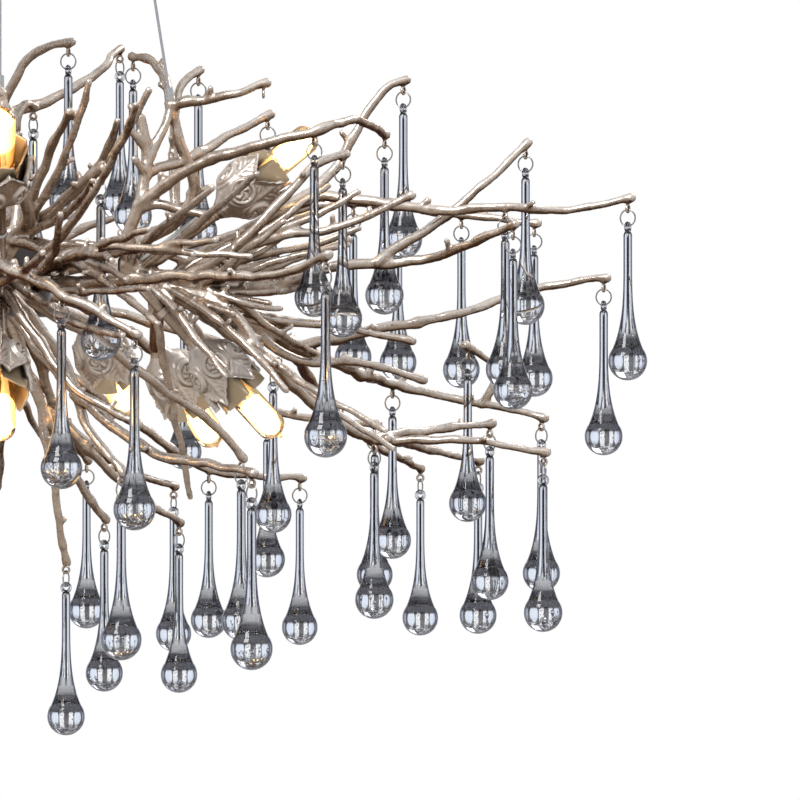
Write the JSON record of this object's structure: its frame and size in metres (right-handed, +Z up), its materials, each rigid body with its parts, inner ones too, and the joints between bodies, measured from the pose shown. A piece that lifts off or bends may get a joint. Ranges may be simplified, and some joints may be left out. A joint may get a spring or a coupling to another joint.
{
  "type": "branch chandelier",
  "caption": "Chandelier of forked cast branches that grow from a small wire-hung hub, with capsule lamps in leaf cups and clear glass drops that swing on thin rings",
  "frame": {"origin": "the middle of the ceiling plate's upper face, where the fixture meets the ceiling", "axes": "+Z up, out of the ceiling plate into the ceiling; +X towards the bough called right, which is on the picture's right; the picture looks along +Y, so the bough called front points at the viewer along -Y"},
  "size_m": [0.7938, 0.6238, 0.53],
  "materials": {
    "steel": "brushed, for the canopy and wire fittings",
    "plate": "satin powder coat on the ceiling plate",
    "wire": "bright stranded steel",
    "dark_metal": "satin dark grey",
    "gland": "matte",
    "terminal": "matte",
    "champagne": "cast metal with a champagne pewter patina, satin",
    "lead": "satin lead sheath",
    "leaf": "cast metal with a champagne pewter patina, satin",
    "sleeve": "satin champagne",
    "ceramic": "unglazed",
    "bulb_glass": "clear",
    "crystal": "clear and polished"
  },
  "bodies": {
    "body": {"ceiling_plate": "plate", "canopy": "steel", "canopy_nuts": "steel", "cable_gland": "gland", "wire_fittings": "steel", "wire_right": "wire", "wire_back": "wire", "wire_left": "wire", "wire_front": "wire", "hub_housing": "dark_metal", "hub_lid": "dark_metal", "terminal_block": "terminal", "hub_arms": "champagne", "bough_right": "champagne", "bough_back": "champagne", "bough_left": "champagne", "bough_front": "champagne", "lamp_arms": "champagne", "lamp_leads": "lead", "leaf_cups": "leaf", "lamp_sleeves": "sleeve", "lamp_sockets": "ceramic", "bulbs": "bulb_glass", "drop_hooks": "champagne"},
    "drops_right_1": {"drops_right_1": "crystal"},
    "drops_right_2": {"drops_right_2": "crystal"},
    "drops_right_3": {"drops_right_3": "crystal"},
    "drops_right_4": {"drops_right_4": "crystal"},
    "drops_right_5": {"drops_right_5": "crystal"},
    "drops_right_6": {"drops_right_6": "crystal"},
    "drops_right_7": {"drops_right_7": "crystal"},
    "drops_right_8": {"drops_right_8": "crystal"},
    "drops_back_1": {"drops_back_1": "crystal"},
    "drops_back_2": {"drops_back_2": "crystal"},
    "drops_back_3": {"drops_back_3": "crystal"},
    "drops_back_4": {"drops_back_4": "crystal"},
    "drops_back_5": {"drops_back_5": "crystal"},
    "drops_back_6": {"drops_back_6": "crystal"},
    "drops_back_7": {"drops_back_7": "crystal"},
    "drops_back_8": {"drops_back_8": "crystal"},
    "drops_back_9": {"drops_back_9": "crystal"},
    "drops_back_10": {"drops_back_10": "crystal"},
    "drops_left_1": {"drops_left_1": "crystal"},
    "drops_left_2": {"drops_left_2": "crystal"},
    "drops_left_3": {"drops_left_3": "crystal"},
    "drops_left_4": {"drops_left_4": "crystal"},
    "drops_left_5": {"drops_left_5": "crystal"},
    "drops_left_6": {"drops_left_6": "crystal"},
    "drops_left_7": {"drops_left_7": "crystal"},
    "drops_left_8": {"drops_left_8": "crystal"},
    "drops_front_1": {"drops_front_1": "crystal"},
    "drops_front_2": {"drops_front_2": "crystal"},
    "drops_front_3": {"drops_front_3": "crystal"},
    "drops_front_4": {"drops_front_4": "crystal"},
    "drops_front_5": {"drops_front_5": "crystal"},
    "drops_front_6": {"drops_front_6": "crystal"},
    "drops_front_7": {"drops_front_7": "crystal"},
    "drops_front_8": {"drops_front_8": "crystal"},
    "drops_front_9": {"drops_front_9": "crystal"},
    "drops_front_10": {"drops_front_10": "crystal"}
  },
  "joints": [
    {"name": "swing_right_1", "type": "hinge", "parent": "body", "child": "drops_right_1", "pos_m": [0.253, 0.06, -0.122], "axis": [0.7653, -0.4638, -0.4464], "range_deg": [-8, 12]},
    {"name": "swing_right_2", "type": "hinge", "parent": "body", "child": "drops_right_2", "pos_m": [0.189, -0.062, -0.161], "axis": [0.8781, 0.3628, -0.312], "range_deg": [-8, 6]},
    {"name": "swing_right_3", "type": "hinge", "parent": "body", "child": "drops_right_3", "pos_m": [0.167, 0.05, -0.145], "axis": [0.9083, -0.3838, -0.1663], "range_deg": [-2, 12]},
    {"name": "swing_right_4", "type": "hinge", "parent": "body", "child": "drops_right_4", "pos_m": [0.209, -0.022, -0.173], "axis": [0.8714, -0.3106, -0.3796], "range_deg": [-10, 8]},
    {"name": "swing_right_5", "type": "hinge", "parent": "body", "child": "drops_right_5", "pos_m": [0.229, 0.165, -0.195], "axis": [0.9373, -0.3289, -0.1151], "range_deg": [-12, 12]},
    {"name": "swing_right_6", "type": "hinge", "parent": "body", "child": "drops_right_6", "pos_m": [0.38, 0.06, -0.246], "axis": [0.8203, -0.3815, 0.4261], "range_deg": [-12, 12]},
    {"name": "swing_right_7", "type": "hinge", "parent": "body", "child": "drops_right_7", "pos_m": [0.346, 0.11, -0.334], "axis": [0.7966, 0.5975, 0.0916], "range_deg": [-12, 3]},
    {"name": "swing_right_8", "type": "hinge", "parent": "body", "child": "drops_right_8", "pos_m": [0.336, 0.01, -0.355], "axis": [0.2145, -0.9752, 0.0546], "range_deg": [-12, 12]},
    {"name": "swing_back_1", "type": "hinge", "parent": "body", "child": "drops_back_1", "pos_m": [-0.059, 0.13, -0.188], "axis": [0.5607, -0.7878, 0.2549], "range_deg": [-12, 8]},
    {"name": "swing_back_2", "type": "hinge", "parent": "body", "child": "drops_back_2", "pos_m": [-0.035, 0.205, -0.262], "axis": [0.77, -0.4695, 0.432], "range_deg": [-12, 12]},
    {"name": "swing_back_3", "type": "hinge", "parent": "body", "child": "drops_back_3", "pos_m": [-0.071, 0.13, -0.364], "axis": [0.5423, -0.8402, 0], "range_deg": [-12, 12]},
    {"name": "swing_back_4", "type": "hinge", "parent": "body", "child": "drops_back_4", "pos_m": [0.043, 0.09, -0.097], "axis": [0.9136, -0.3384, -0.2256], "range_deg": [-12, 12]},
    {"name": "swing_back_5", "type": "hinge", "parent": "body", "child": "drops_back_5", "pos_m": [0.021, 0.1, -0.137], "axis": [-0.4962, -0.7834, -0.3743], "range_deg": [-2, 8]},
    {"name": "swing_back_6", "type": "hinge", "parent": "body", "child": "drops_back_6", "pos_m": [0.067, 0.15, -0.399], "axis": [0.706, 0.706, -0.0565], "range_deg": [-12, 12]},
    {"name": "swing_back_7", "type": "hinge", "parent": "body", "child": "drops_back_7", "pos_m": [0.057, 0.23, -0.362], "axis": [0.9748, 0.2045, -0.0886], "range_deg": [-12, 12]},
    {"name": "swing_back_8", "type": "hinge", "parent": "body", "child": "drops_back_8", "pos_m": [0.042, 0.12, -0.425], "axis": [-0.3752, -0.9004, -0.2201], "range_deg": [-12, 12]},
    {"name": "swing_back_9", "type": "hinge", "parent": "body", "child": "drops_back_9", "pos_m": [0.177, 0.24, -0.329], "axis": [0.9807, -0.1381, -0.1381], "range_deg": [-12, 12]},
    {"name": "swing_back_10", "type": "hinge", "parent": "body", "child": "drops_back_10", "pos_m": [0.124, 0.3, -0.258], "axis": [0.3181, -0.9176, -0.2386], "range_deg": [-12, 12]},
    {"name": "swing_left_1", "type": "hinge", "parent": "body", "child": "drops_left_1", "pos_m": [-0.253, -0.06, -0.122], "axis": [0.7653, -0.4638, 0.4464], "range_deg": [-12, 8]},
    {"name": "swing_left_2", "type": "hinge", "parent": "body", "child": "drops_left_2", "pos_m": [-0.189, 0.062, -0.161], "axis": [0.8781, 0.3628, 0.312], "range_deg": [-6, 8]},
    {"name": "swing_left_3", "type": "hinge", "parent": "body", "child": "drops_left_3", "pos_m": [-0.167, -0.05, -0.145], "axis": [0.9083, -0.3838, 0.1663], "range_deg": [-12, 2]},
    {"name": "swing_left_4", "type": "hinge", "parent": "body", "child": "drops_left_4", "pos_m": [-0.209, 0.022, -0.173], "axis": [0.8714, -0.3106, 0.3796], "range_deg": [-8, 10]},
    {"name": "swing_left_5", "type": "hinge", "parent": "body", "child": "drops_left_5", "pos_m": [-0.229, -0.165, -0.195], "axis": [0.9373, -0.3289, 0.1151], "range_deg": [-12, 12]},
    {"name": "swing_left_6", "type": "hinge", "parent": "body", "child": "drops_left_6", "pos_m": [-0.38, -0.06, -0.246], "axis": [0.8203, -0.3815, -0.4261], "range_deg": [-12, 12]},
    {"name": "swing_left_7", "type": "hinge", "parent": "body", "child": "drops_left_7", "pos_m": [-0.346, -0.11, -0.334], "axis": [0.7966, 0.5975, -0.0916], "range_deg": [-3, 12]},
    {"name": "swing_left_8", "type": "hinge", "parent": "body", "child": "drops_left_8", "pos_m": [-0.336, -0.01, -0.355], "axis": [0.2145, -0.9752, -0.0546], "range_deg": [-12, 12]},
    {"name": "swing_front_1", "type": "hinge", "parent": "body", "child": "drops_front_1", "pos_m": [0.059, -0.13, -0.188], "axis": [0.5607, -0.7878, -0.2549], "range_deg": [-8, 12]},
    {"name": "swing_front_2", "type": "hinge", "parent": "body", "child": "drops_front_2", "pos_m": [0.035, -0.205, -0.262], "axis": [0.77, -0.4695, -0.432], "range_deg": [-12, 12]},
    {"name": "swing_front_3", "type": "hinge", "parent": "body", "child": "drops_front_3", "pos_m": [0.071, -0.13, -0.364], "axis": [0.5423, -0.8402, 0], "range_deg": [-12, 12]},
    {"name": "swing_front_4", "type": "hinge", "parent": "body", "child": "drops_front_4", "pos_m": [-0.043, -0.09, -0.097], "axis": [0.9136, -0.3384, 0.2256], "range_deg": [-12, 12]},
    {"name": "swing_front_5", "type": "hinge", "parent": "body", "child": "drops_front_5", "pos_m": [-0.021, -0.1, -0.137], "axis": [-0.4962, -0.7834, 0.3743], "range_deg": [-8, 2]},
    {"name": "swing_front_6", "type": "hinge", "parent": "body", "child": "drops_front_6", "pos_m": [-0.067, -0.15, -0.399], "axis": [0.706, 0.706, 0.0565], "range_deg": [-12, 12]},
    {"name": "swing_front_7", "type": "hinge", "parent": "body", "child": "drops_front_7", "pos_m": [-0.057, -0.23, -0.362], "axis": [0.9748, 0.2045, 0.0886], "range_deg": [-12, 12]},
    {"name": "swing_front_8", "type": "hinge", "parent": "body", "child": "drops_front_8", "pos_m": [-0.042, -0.12, -0.425], "axis": [-0.3752, -0.9004, 0.2201], "range_deg": [-12, 12]},
    {"name": "swing_front_9", "type": "hinge", "parent": "body", "child": "drops_front_9", "pos_m": [-0.177, -0.24, -0.329], "axis": [0.9807, -0.1381, 0.1381], "range_deg": [-12, 12]},
    {"name": "swing_front_10", "type": "hinge", "parent": "body", "child": "drops_front_10", "pos_m": [-0.124, -0.3, -0.258], "axis": [0.3181, -0.9176, 0.2386], "range_deg": [-12, 12]}
  ]
}
